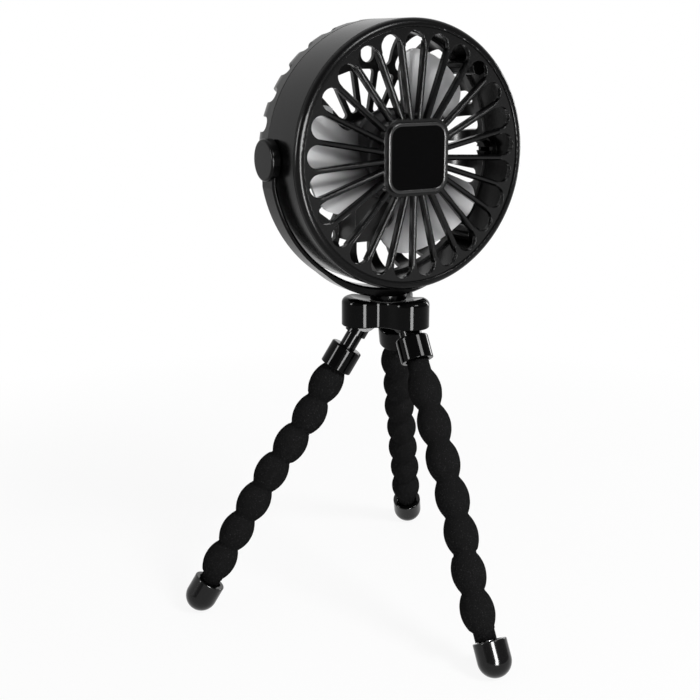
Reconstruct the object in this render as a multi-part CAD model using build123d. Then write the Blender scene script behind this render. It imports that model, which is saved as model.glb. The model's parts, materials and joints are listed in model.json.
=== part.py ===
from build123d import *
import os
from math import atan, cos, degrees, hypot, radians, sin, tan

# A battery fan in a yoke on a small tripod whose beaded sponge legs bend.
# Millimetres, +Z up. The origin is on the floor under the hub, and the fan faces -Y.

# Clearances
SEAT = 0.02  # a fixed piece in its seat
RUN = 0.05  # a turning or sliding pin in its bore
GAP = 0.3  # loose faces that pass each other

# Leg lengths, measured down the leg from its hinge pin
SLEEVE_END = 7.8
FOAM_TOP = 16.8
STUD_END = 22.0
FIRST_BEAD = 24.3
BEAD_COUNT = 7
BEAD_PITCH = 15.7
FLEX_BEADS = 3  # beads above the neck where the leg model bends
TAIL_SHOWN = 3.7  # straight foam between the last bead and the foot
FOOT_CUP = 7.9  # rim of the foot to the centre of its dome

# Leg sections
BEAD_RADIUS = 6.8
NECK_RADIUS = 4.7
TAIL_RADIUS = 4.5
STUD_RADIUS = 3.6
SLEEVE_RADIUS = 4.8
EYE_RADIUS = 5.0
WIRE_RADIUS = 1.5
HINGE_PIN_RADIUS = 1.5
HINGE_PIN_GRIP = 2.4  # pin length held in the hub on each side
COLLAR_RADIUS = 7.1
COLLAR_LENGTH = 10.6
COLLAR_TOP_WALL = 2.0
COLLAR_BORE = 5.3
COLLAR_TOP_EDGE = 0.9
COLLAR_LOW_EDGE = 0.4
FOOT_RADIUS = 7.1
FOOT_BORE = 5.2
FOOT_EDGE = 0.5
FOOT_FLOOR = 1.0  # floor of the cup above the centre of the dome
WIRE_SOCKET = 3.5  # depth that the wire sits in the foot
WIRE_IN_STUD = 8.0
FLEX_BALL = 4.4
FLEX_LIMIT = 40.0  # bend each way at the flexing neck

# Leg places: the hub's lobes are evenly spaced, and each leg has been turned out of line a little
LEG_SPREAD = 30.7
LEG_ANGLE = {"left": 160.3, "front": -93.3, "back": 50.7}
LOBE_ANGLE = {"left": 167.0, "front": -73.0, "back": 47.0}
COLLAR_SLIP = {"left": 6.6, "front": 0.0, "back": 0.0}  # how far a collar has slid down

# Tripod hub, heights measured from the hinge pins
HUB_BELOW_PIN = 2.7
HUB_SEAT_ABOVE_PIN = 7.6
HUB_TOP_ABOVE_PIN = 9.8
PIN_CIRCLE = 11.0
LOBE_CIRCLE = 12.0
LOBE_RADIUS = 8.8
LOBE_VALLEY = 6.0
HUB_TOP_ROUND = 2.6
HUB_LOW_EDGE = 0.6
SEAT_RADIUS = 8.6
BOLT_RADIUS = 2.0
BOLT_HEAD_RADIUS = 3.7
BOLT_HEAD_HEIGHT = 2.2
BOLT_WELL_RADIUS = 4.2
HUB_DECK = 3.6  # plate between the seat and the bolt's well
HUB_CAP_HEIGHT = 1.5
WASHER_HEIGHT = 0.6
WASHER_RADIUS = 7.5

# Yoke
YOKE_CLEARANCE = 0.5  # the back of the tilting head passes the band with this to spare
EAR_CLEARANCE = 0.6  # gap between the housing and the straight arms
YOKE_WALL = 2.0
YOKE_WIDTH = 10.4
YOKE_EDGE = 0.8
YOKE_KEEL = 2.35  # how much thicker the band is at its lowest point
YOKE_KEEL_RADIUS = 50.0
YOKE_FOOT_HEIGHT = 1.4
YOKE_FOOT_RADIUS = 8.0
EAR_RADIUS = 8.5
EAR_PROUD = 1.8  # the ears stand this far out from the arms
EAR_EDGE = 0.9
INSERT_RADIUS = 2.9
INSERT_LENGTH = 3.2

# Snap pivot pins
PIVOT_RADIUS = 3.2
PIVOT_IN_EAR = 1.8
PIVOT_SLIT = 1.7
BARB_RADIUS = 3.8
BARB_LENGTH = 2.2
PIVOT_BOSS_RADIUS = 5.0
PIVOT_BOSS_DEPTH = 2.4  # how far the boss reaches inside the housing wall

# Head housing, measured along the fan's axis from the pivot, front positive
RING_RADIUS = 55.0
HOUSING_WALL = 2.4
RIM_FRONT = 20.6
RIM_ROUND = 2.6
RIM_GROOVE = 0.3  # depth of the fine line between the wall and the rounded rim
LIP_WIDTH = 3.5  # rim width in front of the grille
LIP_EDGE = 0.6  # rounding of the rim's inner edge
LIP_DEPTH = 2.0
SEAM = -5.0
SEAM_EDGE = 0.3  # bevel on both sides of the seam
REAR_FACE = -22.0
REAR_ROUND = 12.0
REAR_WALL = 2.2
TONGUE_LENGTH = 2.5
TONGUE_WALL = 1.3

# Front grille
SLOT_COUNT = 25
SLOT_PHASE = 90.75
GRILLE_BORDER = 1.5  # plain edge outside the slots
SLOT_END_RADIUS = 4.6
GRILLE_SINK = 0.7  # grille face below the rim
GRILLE_WALL = 2.2
GRILLE_FLANGE = 2.0
GRILLE_RIM_WIDTH = 7.4
SPOKE_WIDTH = 2.3
SPOKE_RIDGE = 0.9
SPOKE_DEPTH = 3.2
SPOKE_BEVEL = 0.9
SPOKE_INNER = 13.0
SPOKE_OVERLAP = 3.5  # how far the spokes run on past the slot tips' inside
SPOKE_RISE = 1.1  # the spokes stand this much higher at the badge
PLATE_SIDE = 31.0
PLATE_CORNER = 7.0
BADGE_SIDE = 28.5
BADGE_CORNER = 6.2
BADGE_BORDER = 1.6
BADGE_FRAME_HEIGHT = 1.5
BADGE_EDGE = 0.6
BADGE_HEIGHT = 0.9

# Rear grille
OUTER_BARS = 28
OUTER_BAR_START = 5.1
OUTER_SLOT_WIDTH = 6.5
OUTER_SLOT_ROUND = 3.0  # rounding of the slots' ends in the side wall
REAR_BAND = 3.4  # plain band behind the seam
OUTER_SLOT_LENGTH = 17.8
SLOT_CORNER = 1.2
MID_RING_WIDTH = 2.8
INNER_BARS = 20
INNER_BAR_WIDTH = 2.2
REAR_DISC = 17.0
PRY_SLIT = 0.5  # opening in the seam for a coin or a nail
PRY_SLIT_START = 106.0
PRY_SLIT_ANGLE = 16.0

# Motor and rotor
MOTOR_RADIUS = 12.4
MOTOR_LENGTH = 14.5
MOTOR_SEAT_WALL = 1.8
MOTOR_SEAT_HEIGHT = 9.0
MOTOR_CAP_HEIGHT = 1.3
BUSH_RADIUS = 3.2
BUSH_HEIGHT = 1.0
SHAFT_RADIUS = 1.0
SHAFT_REAR = -17.8
SHAFT_FRONT = 9.5
ROTOR_REAR = -1.0
ROTOR_FRONT = 12.5
ROTOR_RADIUS = 18.0
ROTOR_WALL = 1.6
ROTOR_ROUND = 1.2
ROTOR_BOSS = 3.4
ROTOR_LIP = 1.0  # rim round the open end of the hub
ROTOR_LIP_HEIGHT = 1.6
BLADE_COUNT = 3
BLADE_PHASE = 61.0
BLADE_CLEARANCE = 9.1  # blade tip to the housing
BLADE_SPAN = 74.0  # degrees that a blade covers
BLADE_LEAD = 10.5  # rise per radian of turn
BLADE_WALL = 1.4
BLADE_CORNER = 10.0
BLADE_MIDDLE = 6.0
SCOOP_RADIUS = 7.2  # hollow in the trailing edge, close to the hub
SCOOP_OUTSET = 2.5

# Battery pod at the back of the head, below the motor
POD_HALF_WIDTH = 12.0
POD_TOP = -15.2
POD_BOTTOM = -36.0
POD_FRONT = -6.6
POD_WALL = 1.6
POD_COVER_WALL = 1.8
POD_REBATE = 0.8
POD_SCREW_X = 9.7
POD_SCREW_DROP = 2.4  # screw centres below the top of the pod
BATTERY_WIDTH = 22.0
BATTERY_HEIGHT = 15.2
BATTERY_DEPTH = 6.9
BOARD_WALL = 1.2
BOARD_HEIGHT = 15.6
BUTTON_RADIUS = 4.0
BUTTON_PROUD = 1.2
BUTTON_FLANGE = 5.0
BUTTON_FLANGE_HEIGHT = 1.0
BUTTON_TRAVEL = 0.8
BUTTON_Y = -25.5
SWITCH_SIDE = 6.0
SWITCH_HEIGHT = 2.4
PLUNGER_RADIUS = 1.7
USB_WIDTH = 8.9
USB_HEIGHT = 3.2
USB_SHELL = 0.35
USB_MOUTH = 5.5
USB_Y = -32.6
LENS_RADIUS = 1.5
LENS_X = 7.8

# Screws
SCREW_INSET = 5.0  # screw centres inside the outer radius
SCREW_COUNT = 4
SCREW_PHASE = 45.0
POST_RADIUS = 3.2
POST_FRONT = 14.0
POST_REAR = -16.0
SCREW_RADIUS = 1.2
SCREW_HEAD_RADIUS = 2.3
SCREW_HEAD_HEIGHT = 1.5
SCREW_BITE = 9.0
POD_POST_RADIUS = 2.1
POD_SCREW_RADIUS = 0.9
POD_SCREW_HEAD = 1.6
POD_SCREW_HEAD_HEIGHT = 0.9
POD_SCREW_BITE = 5.0

# Places that follow from the sizes above
LAST_NECK = FIRST_BEAD + BEAD_COUNT * BEAD_PITCH
FOOT_RIM = LAST_NECK + TAIL_SHOWN
DOME_CENTRE = FOOT_RIM + FOOT_CUP
CUP_FLOOR = DOME_CENTRE - FOOT_FLOOR
FLEX_NECK = FIRST_BEAD + FLEX_BEADS * BEAD_PITCH
PIN_HEIGHT = FOOT_RADIUS + DOME_CENTRE * cos(radians(LEG_SPREAD))
HUB_BOTTOM = PIN_HEIGHT - HUB_BELOW_PIN
HUB_SEAT = PIN_HEIGHT + HUB_SEAT_ABOVE_PIN
HUB_TOP = PIN_HEIGHT + HUB_TOP_ABOVE_PIN
WELL_TOP = HUB_SEAT - HUB_DECK
BACK_REACH = hypot(RING_RADIUS - REAR_ROUND, -REAR_FACE - REAR_ROUND) + REAR_ROUND
YOKE_RADIUS = BACK_REACH + YOKE_CLEARANCE
YOKE_OUTER = YOKE_RADIUS + YOKE_WALL
YOKE_DROP = YOKE_OUTER + YOKE_KEEL
ARM_INNER = RING_RADIUS + EAR_CLEARANCE
ARM_OUTER = ARM_INNER + YOKE_WALL
EAR_FACE = ARM_OUTER + EAR_PROUD
YOKE_BOTTOM = HUB_SEAT + WASHER_HEIGHT + RUN
PIVOT_HEIGHT = YOKE_BOTTOM + YOKE_FOOT_HEIGHT + YOKE_DROP
RING_BORE = RING_RADIUS - HOUSING_WALL
LIP_RADIUS = RING_RADIUS - LIP_WIDTH
SLOT_TIP = LIP_RADIUS - GRILLE_BORDER
SPOKE_OUTER = SLOT_TIP - SPOKE_OVERLAP
SCREW_CIRCLE = RING_RADIUS - SCREW_INSET
BLADE_TIP = RING_BORE - BLADE_CLEARANCE
MID_RING_OUTER = RING_RADIUS - OUTER_SLOT_LENGTH
MID_RING_INNER = MID_RING_OUTER - MID_RING_WIDTH
BOSS_FACE = RING_BORE - PIVOT_BOSS_DEPTH
GRILLE_FACE = RIM_FRONT - GRILLE_SINK
PLATE_FACE = GRILLE_FACE + SPOKE_RISE
REAR_INSIDE = REAR_FACE + REAR_WALL
MOTOR_REAR = REAR_INSIDE + SEAT
MOTOR_FRONT = MOTOR_REAR + MOTOR_LENGTH
BATTERY_FRONT = POD_FRONT - GAP
BOARD_FRONT = BATTERY_FRONT - BATTERY_DEPTH - GAP
BOARD_REAR = BOARD_FRONT - BOARD_WALL
COVER_INSIDE = REAR_FACE + POD_COVER_WALL
POD_CONTENT_TOP = POD_BOTTOM + GAP + BOARD_HEIGHT

HEAD = Pos(0, 0, PIVOT_HEIGHT) * Rot(90, 0, 0)


def turned(outline):
    """A solid turned about Z from an outline of (radius, height)."""
    return revolve(Plane.XZ * make_face(outline), Axis.Z)


def rod(radius, low, high):
    """A round bar along Z between two heights."""
    return Pos(0, 0, low) * Cylinder(radius, high - low, align=(Align.CENTER, Align.CENTER, Align.MIN))


def block(x_low, x_high, y_low, y_high, z_low, z_high):
    """A box between two corners."""
    size = (x_high - x_low, y_high - y_low, z_high - z_low)
    return Pos(x_low, y_low, z_low) * Box(*size, align=(Align.MIN, Align.MIN, Align.MIN))


def cross_rod(radius, low, high):
    """A round bar along X between two places."""
    return Rot(0, 90, 0) * rod(radius, low, high)


def around(shape, count, start=0.0):
    """Copies of a shape, evenly spaced about Z."""
    return [Rot(0, 0, start + 360.0 * step / count) * shape for step in range(count)]


def slab(sketch, low, high):
    """A sketch in XY made solid between two heights."""
    return extrude(Pos(0, 0, low) * sketch, high - low)


def front_ring():
    """Outer housing ring with a rounded rim, a lip for the grille, screw posts and pivot bores."""
    round_height = RIM_FRONT - RIM_ROUND
    round_radius = RING_RADIUS - RIM_ROUND
    lip_back = RIM_FRONT - LIP_DEPTH
    wall = Polyline(
        (RING_BORE, SEAM), (RING_RADIUS - SEAM_EDGE, SEAM), (RING_RADIUS, SEAM + SEAM_EDGE),
        (RING_RADIUS, round_height - 2 * RIM_GROOVE),
        (RING_RADIUS - RIM_GROOVE, round_height - RIM_GROOVE), (RING_RADIUS, round_height),
    )
    rim = CenterArc((round_radius, round_height), RIM_ROUND, 0, 90)
    front = Line((round_radius, RIM_FRONT), (LIP_RADIUS + LIP_EDGE, RIM_FRONT))
    lip = CenterArc((LIP_RADIUS + LIP_EDGE, RIM_FRONT - LIP_EDGE), LIP_EDGE, 90, 90)
    inside = Polyline(
        (LIP_RADIUS, RIM_FRONT - LIP_EDGE), (LIP_RADIUS, lip_back), (RING_BORE, lip_back), (RING_BORE, SEAM)
    )
    ring = Rot(0, 0, SCREW_PHASE / 2) * turned(wall + rim + front + lip + inside)
    middle = (RING_BORE + RING_RADIUS) / 2
    boss = cross_rod(PIVOT_BOSS_RADIUS, BOSS_FACE, middle)
    side = PIVOT_BOSS_RADIUS
    trim = block(-RING_RADIUS, RING_RADIUS, -side, side, SEAM - PIVOT_BOSS_RADIUS, SEAM)
    bosses = [copy - trim for copy in around(boss, 2)]
    post = Pos(SCREW_CIRCLE, 0, 0) * rod(POST_RADIUS, SEAM, POST_FRONT)
    keep = rod(middle, SEAM, POST_FRONT)
    posts = [copy & keep for copy in around(post, SCREW_COUNT, SCREW_PHASE)]
    hole = Pos(SCREW_CIRCLE, 0, 0) * rod(SCREW_RADIUS + SEAT, SEAM, SEAM + SCREW_BITE + GAP)
    bore = cross_rod(PIVOT_RADIUS + RUN, -RING_RADIUS, RING_RADIUS)
    return ring + posts + bosses - around(hole, SCREW_COUNT, SCREW_PHASE) - bore


def front_grille():
    """Rim with petal-shaped slot ends, ridged spokes and the square plate that carries the badge."""
    flange_front = RIM_FRONT - LIP_DEPTH - SEAT
    flange_back = flange_front - GRILLE_FLANGE
    rim_back = GRILLE_FACE - GRILLE_WALL
    edge = LIP_RADIUS - SEAT
    rim_inner = edge - GRILLE_RIM_WIDTH
    flange_edge = RING_BORE - SEAT
    flange_inner = flange_edge - GRILLE_FLANGE
    rim = turned(
        Polyline(
            (rim_inner, rim_back), (rim_inner, GRILLE_FACE), (edge, GRILLE_FACE), (edge, flange_front),
            (flange_edge, flange_front), (flange_edge, flange_back), (flange_inner, flange_back),
            (flange_inner, rim_back), close=True,
        )
    )
    end_centre = SLOT_TIP - SLOT_END_RADIUS
    mouth = Pos(end_centre - SLOT_END_RADIUS, 0) * Rectangle(2 * SLOT_END_RADIUS, 2 * SLOT_END_RADIUS)
    petal = slab(Pos(end_centre, 0) * Circle(SLOT_END_RADIUS) + mouth, rim_back - GAP, GRILLE_FACE + GAP)
    rim = rim - around(petal, SLOT_COUNT, SLOT_PHASE)
    half = SPOKE_WIDTH / 2
    ridge = SPOKE_RIDGE / 2
    section = make_face(
        Polyline(
            (-half, -SPOKE_DEPTH), (half, -SPOKE_DEPTH), (half, -SPOKE_BEVEL), (ridge, 0), (-ridge, 0),
            (-half, -SPOKE_BEVEL), close=True,
        )
    )
    run = SPOKE_OUTER - SPOKE_INNER
    start = Plane(origin=(SPOKE_INNER, 0, PLATE_FACE), x_dir=(0, 1, 0), z_dir=(run, 0, -SPOKE_RISE))
    spoke = extrude(start * section, run)
    spokes = around(spoke, SLOT_COUNT, SLOT_PHASE + 180.0 / SLOT_COUNT)
    plate = slab(RectangleRounded(PLATE_SIDE, PLATE_SIDE, PLATE_CORNER), PLATE_FACE - SPOKE_DEPTH, PLATE_FACE)
    return rim + spokes + plate


def badge_outline(inset):
    """The badge's rounded square, drawn in by an amount."""
    side = BADGE_SIDE - 2 * inset
    return RectangleRounded(side, side, BADGE_CORNER - inset)


def badge_frame():
    """Raised border round the badge."""
    border = slab(badge_outline(0) - badge_outline(BADGE_BORDER), PLATE_FACE, PLATE_FACE + BADGE_FRAME_HEIGHT)
    return fillet(border.faces().sort_by(Axis.Z)[-1].edges(), BADGE_EDGE)


def centre_badge():
    """Bare plate inside the border."""
    return slab(badge_outline(BADGE_BORDER + SEAT), PLATE_FACE, PLATE_FACE + BADGE_HEIGHT)


def outer_slot():
    """One cutter for a rear slot, from the side wall round the corner to the middle ring."""
    half = OUTER_SLOT_WIDTH / 2
    inner_end = MID_RING_OUTER + half
    reach = RING_RADIUS + HOUSING_WALL
    mouth = block(inner_end, reach, -half, half, REAR_FACE - GAP, SEAM - REAR_BAND)
    ends = mouth.faces().sort_by(Axis.Z)[-1].edges().filter_by(Axis.X)
    mouth = fillet(ends, OUTER_SLOT_ROUND)
    return mouth + Pos(inner_end, 0, 0) * rod(half, REAR_FACE - GAP, REAR_INSIDE + GAP)


def inner_slot():
    """One cutter for a slot between the middle ring and the central disc."""
    pitch = radians(360.0 / INNER_BARS)
    outer_half = (MID_RING_INNER * pitch - INNER_BAR_WIDTH) / 2
    inner_half = (REAR_DISC * pitch - INNER_BAR_WIDTH) / 2
    outline = make_face(
        Polyline(
            (REAR_DISC, -inner_half), (MID_RING_INNER, -outer_half), (MID_RING_INNER, outer_half),
            (REAR_DISC, inner_half), close=True,
        )
    )
    return slab(fillet(outline.vertices(), SLOT_CORNER), REAR_FACE - GAP, REAR_INSIDE + GAP)


def pry_slit():
    """Cutter for the slit in the seam, a stretch of ring outside the tongue."""
    ring = Circle(RING_RADIUS + GAP) - Circle(RING_BORE)
    reach = 2 * RING_RADIUS
    stop = radians(PRY_SLIT_ANGLE)
    sector = make_face(Polyline((0, 0), (reach, 0), (reach * cos(stop), reach * sin(stop)), close=True))
    return slab(Rot(0, 0, PRY_SLIT_START) * (ring & sector), SEAM - PRY_SLIT, SEAM)


def pod_screw_places():
    """Where the pod's screws stand."""
    return [Pos(side * POD_SCREW_X, POD_TOP - POD_SCREW_DROP, 0) for side in (-1, 1)]


def rear_cover():
    """Slotted cup with the tongue that enters the ring, motor seat, screw posts and battery pod."""
    tongue = RING_BORE - RUN
    corner = (RING_RADIUS - REAR_ROUND, REAR_FACE + REAR_ROUND)
    wall_face = RING_RADIUS - REAR_ROUND
    inner_round = REAR_ROUND - REAR_WALL
    outside = Polyline(
        (RING_RADIUS - SEAM_EDGE, SEAM), (RING_RADIUS, SEAM - SEAM_EDGE), (RING_RADIUS, corner[1])
    )
    outer_arc = CenterArc(corner, REAR_ROUND, 0, -90)
    across = Polyline((wall_face, REAR_FACE), (0, REAR_FACE), (0, REAR_INSIDE), (wall_face, REAR_INSIDE))
    inner_arc = CenterArc(corner, inner_round, -90, 90)
    tongue_inside = tongue - TONGUE_WALL
    tongue_low = SEAM - TONGUE_LENGTH
    tongue_top = SEAM + TONGUE_LENGTH
    top = Polyline(
        (corner[0] + inner_round, corner[1]), (corner[0] + inner_round, tongue_low),
        (tongue_inside, tongue_low + TONGUE_WALL), (tongue_inside, tongue_top), (tongue, tongue_top),
        (tongue, SEAM), (RING_RADIUS - SEAM_EDGE, SEAM),
    )
    cup = turned(outside + outer_arc + across + inner_arc + top)
    first_slot = OUTER_BAR_START + 180.0 / OUTER_BARS
    cup = cup - around(outer_slot(), OUTER_BARS, first_slot) - around(inner_slot(), INNER_BARS) - pry_slit()
    notch = PIVOT_BOSS_RADIUS + GAP
    cup = cup - block(-RING_RADIUS, RING_RADIUS, -notch, notch, SEAM, SEAM + 2 * TONGUE_LENGTH)
    post = Pos(SCREW_CIRCLE, 0, 0) * rod(POST_RADIUS, POST_REAR, SEAM)
    keep = rod((RING_BORE + RING_RADIUS) / 2, POST_REAR, SEAM)
    posts = [copy & keep for copy in around(post, SCREW_COUNT, SCREW_PHASE)]
    clear = rod(POST_RADIUS + GAP, SEAM, SEAM + TONGUE_LENGTH + GAP)
    tongue_gaps = around(Pos(SCREW_CIRCLE, 0, 0) * clear, SCREW_COUNT, SCREW_PHASE)
    head_well = rod(SCREW_HEAD_RADIUS + SEAT, REAR_FACE, POST_REAR + SCREW_HEAD_HEIGHT)
    shank_hole = rod(SCREW_RADIUS + SEAT, REAR_FACE, SEAM)
    screw_holes = around(Pos(SCREW_CIRCLE, 0, 0) * (head_well + shank_hole), SCREW_COUNT, SCREW_PHASE)
    seat = rod(MOTOR_RADIUS + MOTOR_SEAT_WALL, REAR_FACE, REAR_INSIDE + MOTOR_SEAT_HEIGHT)
    well = rod(MOTOR_RADIUS + SEAT, REAR_INSIDE, MOTOR_FRONT)
    side = POD_HALF_WIDTH + POD_WALL
    pod = block(-side, side, POD_BOTTOM - POD_WALL, POD_TOP + POD_WALL, REAR_FACE, POD_FRONT + POD_WALL)
    hollow = block(-POD_HALF_WIDTH, POD_HALF_WIDTH, POD_BOTTOM, POD_TOP, REAR_FACE, POD_FRONT)
    rebate = pod_cover_outline(REAR_FACE, COVER_INSIDE, 0)
    pod_posts = [place * rod(POD_POST_RADIUS, COVER_INSIDE, POD_FRONT) for place in pod_screw_places()]
    pod_hole = rod(POD_SCREW_RADIUS + SEAT, REAR_FACE, COVER_INSIDE + POD_SCREW_BITE)
    pod_holes = [place * pod_hole for place in pod_screw_places()]
    body = cup + posts - tongue_gaps - screw_holes + seat + pod - hollow - rebate - well
    return body + pod_posts - pod_holes


def pod_cover_outline(low, high, inset):
    """The pod cover's plate, drawn in by a clearance."""
    side = POD_HALF_WIDTH + POD_REBATE - inset
    return block(-side, side, POD_BOTTOM - POD_REBATE + inset, POD_TOP + POD_REBATE - inset, low, high)


def pod_cover():
    """Cover plate with places for the button, the charging socket, the lens and two screws."""
    plate = pod_cover_outline(REAR_FACE, COVER_INSIDE - SEAT, SEAT)
    button_hole = Pos(0, BUTTON_Y, 0) * rod(BUTTON_RADIUS + RUN, REAR_FACE, COVER_INSIDE)
    usb_hole = Pos(0, USB_Y, REAR_FACE) * Box(
        USB_WIDTH + 2 * SEAT, USB_HEIGHT + 2 * SEAT, 2 * POD_COVER_WALL
    )
    lens_hole = Pos(LENS_X, BUTTON_Y, 0) * rod(LENS_RADIUS + SEAT, REAR_FACE, COVER_INSIDE)
    shank = rod(POD_SCREW_RADIUS + SEAT, REAR_FACE, COVER_INSIDE)
    sunk = rod(POD_SCREW_HEAD + SEAT, REAR_FACE, REAR_FACE + POD_SCREW_HEAD_HEIGHT)
    screw_holes = [place * (shank + sunk) for place in pod_screw_places()]
    return plate - button_hole - usb_hole - lens_hole - screw_holes


def pod_screws():
    """Two countersunk screws of the pod cover."""
    head = rod(POD_SCREW_HEAD, REAR_FACE + SEAT, REAR_FACE + POD_SCREW_HEAD_HEIGHT)
    shank = rod(POD_SCREW_RADIUS, REAR_FACE + SEAT, COVER_INSIDE + POD_SCREW_BITE - GAP)
    return Compound([place * (head + shank) for place in pod_screw_places()])


def housing_screws():
    """Four screws that pull the rear cover against the ring."""
    head_top = POST_REAR + SCREW_HEAD_HEIGHT
    head = rod(SCREW_HEAD_RADIUS, POST_REAR, head_top - SEAT)
    shank = rod(SCREW_RADIUS, POST_REAR, SEAM + SCREW_BITE)
    return Compound(around(Pos(SCREW_CIRCLE, 0, 0) * (head + shank), SCREW_COUNT, SCREW_PHASE))


def motor_can():
    """Round motor can with the shaft's bore."""
    return rod(MOTOR_RADIUS, MOTOR_REAR, MOTOR_FRONT) - rod(SHAFT_RADIUS + RUN, SHAFT_REAR - GAP, MOTOR_FRONT)


def motor_end_cap():
    """Front cap of the motor with the bush that carries the shaft."""
    top = MOTOR_FRONT + MOTOR_CAP_HEIGHT
    cap = rod(MOTOR_RADIUS, MOTOR_FRONT + SEAT, top) + rod(BUSH_RADIUS, top, top + BUSH_HEIGHT)
    return cap - rod(SHAFT_RADIUS + RUN, MOTOR_FRONT, top + BUSH_HEIGHT)


def blade():
    """One wide paddle blade: a twisted plate cut to a rounded outline."""
    sections = []
    for radius in (ROTOR_RADIUS - 2 * ROTOR_WALL, (ROTOR_RADIUS + BLADE_TIP) / 2, BLADE_TIP + ROTOR_WALL):
        pitch = degrees(atan(BLADE_LEAD / radius))
        plane = Plane(origin=(radius, 0, BLADE_MIDDLE), x_dir=(0, 1, 0), z_dir=(1, 0, 0))
        chord = 2 * BLADE_TIP
        sections.append(plane * Rot(0, 0, pitch) * Rectangle(chord, BLADE_WALL))
    plate = loft(sections)
    half = radians(BLADE_SPAN / 2)
    reach = 2 * BLADE_TIP
    corner = (reach * cos(half), reach * sin(half))
    wedge = make_face(Polyline((0, 0), (corner[0], -corner[1]), corner, close=True))
    outline = Circle(BLADE_TIP) & wedge
    tips = outline.vertices().filter_by(lambda corner: corner.center().length > ROTOR_RADIUS)
    outline = fillet(tips, BLADE_CORNER) - Circle(ROTOR_RADIUS - ROTOR_WALL / 2)
    scoop = Pos(ROTOR_RADIUS + ROTOR_LIP + SCOOP_RADIUS, -SCOOP_OUTSET) * Circle(SCOOP_RADIUS)
    outline = outline - Rot(0, 0, -BLADE_SPAN / 2) * scoop
    return plate & slab(outline, BLADE_MIDDLE - BLADE_TIP, BLADE_MIDDLE + BLADE_TIP)


def fan_rotor():
    """Cup-shaped rotor hub with a rim, a shaft boss and three paddle blades."""
    shoulder = ROTOR_FRONT - ROTOR_ROUND
    inner = ROTOR_RADIUS - ROTOR_WALL
    ceiling = ROTOR_FRONT - ROTOR_WALL
    lip = ROTOR_RADIUS + ROTOR_LIP
    lip_top = ROTOR_REAR + ROTOR_LIP_HEIGHT
    outside = Polyline(
        (inner, ROTOR_REAR), (lip, ROTOR_REAR), (lip, lip_top), (ROTOR_RADIUS, lip_top),
        (ROTOR_RADIUS, shoulder),
    )
    brow = CenterArc((ROTOR_RADIUS - ROTOR_ROUND, shoulder), ROTOR_ROUND, 0, 90)
    inside = Polyline(
        (ROTOR_RADIUS - ROTOR_ROUND, ROTOR_FRONT), (0, ROTOR_FRONT), (0, ceiling), (inner, ceiling),
        (inner, ROTOR_REAR),
    )
    hub = turned(outside + brow + inside)
    boss = rod(ROTOR_BOSS, ROTOR_REAR, ceiling)
    blades = around(blade(), BLADE_COUNT, BLADE_PHASE)
    return hub + boss + blades - rod(SHAFT_RADIUS + SEAT, ROTOR_REAR, SHAFT_FRONT + SEAT)


def motor_shaft():
    """Steel shaft from the motor into the rotor's boss."""
    return rod(SHAFT_RADIUS, SHAFT_REAR, SHAFT_FRONT)


def battery_cell():
    """Flat pouch cell in the front of the pod."""
    half = BATTERY_WIDTH / 2
    bottom = POD_BOTTOM + GAP
    cell = block(-half, half, bottom, bottom + BATTERY_HEIGHT, BATTERY_FRONT - BATTERY_DEPTH, BATTERY_FRONT)
    return fillet(cell.edges().filter_by(Axis.Y), BATTERY_DEPTH / 4)


def circuit_board():
    """Board behind the battery that carries the switch and the socket."""
    half = POD_HALF_WIDTH - GAP
    return block(-half, half, POD_BOTTOM + GAP, POD_CONTENT_TOP, BOARD_REAR, BOARD_FRONT)


def tact_switch():
    """Square switch body with the recess that its plunger slides in."""
    rear = BOARD_REAR - SWITCH_HEIGHT
    half = SWITCH_SIDE / 2
    body = block(-half, half, -half, half, rear, BOARD_REAR)
    recess = rod(PLUNGER_RADIUS + RUN, rear, BOARD_REAR - GAP)
    return Pos(0, BUTTON_Y, 0) * (body - recess)


def power_button():
    """Round button, held behind the cover by its flange."""
    flange_rear = COVER_INSIDE + GAP
    cap = rod(BUTTON_RADIUS, REAR_FACE - BUTTON_PROUD, flange_rear)
    cap = fillet(cap.faces().sort_by(Axis.Z)[0].edges(), BUTTON_PROUD / 2)
    return Pos(0, BUTTON_Y, 0) * (cap + rod(BUTTON_FLANGE, flange_rear, flange_rear + BUTTON_FLANGE_HEIGHT))


def switch_plunger():
    """Plunger between the button and the switch."""
    button_end = COVER_INSIDE + GAP + BUTTON_FLANGE_HEIGHT
    return Pos(0, BUTTON_Y, 0) * rod(PLUNGER_RADIUS, button_end, BOARD_REAR - 2 * GAP - BUTTON_TRAVEL)


def usb_socket():
    """Charging socket with its open mouth at the rear face."""
    half_width = USB_WIDTH / 2
    half_height = USB_HEIGHT / 2
    shell = block(-half_width, half_width, -half_height, half_height, REAR_FACE, BOARD_REAR)
    shell = fillet(shell.edges().filter_by(Axis.Z), half_height - USB_SHELL)
    mouth = block(
        USB_SHELL - half_width, half_width - USB_SHELL, USB_SHELL - half_height, half_height - USB_SHELL,
        REAR_FACE, REAR_FACE + USB_MOUTH,
    )
    return Pos(0, USB_Y, 0) * (shell - mouth)


def indicator_lens():
    """Small light pipe beside the button."""
    return Pos(LENS_X, BUTTON_Y, 0) * rod(LENS_RADIUS, REAR_FACE - GAP, BOARD_REAR)


def arch_outline(radius, half_width):
    """A half disc below the pivot whose sides are cut straight at a half width."""
    sides = Pos(0, -radius / 2) * Rectangle(2 * half_width, radius)
    return Circle(radius) & sides


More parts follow.
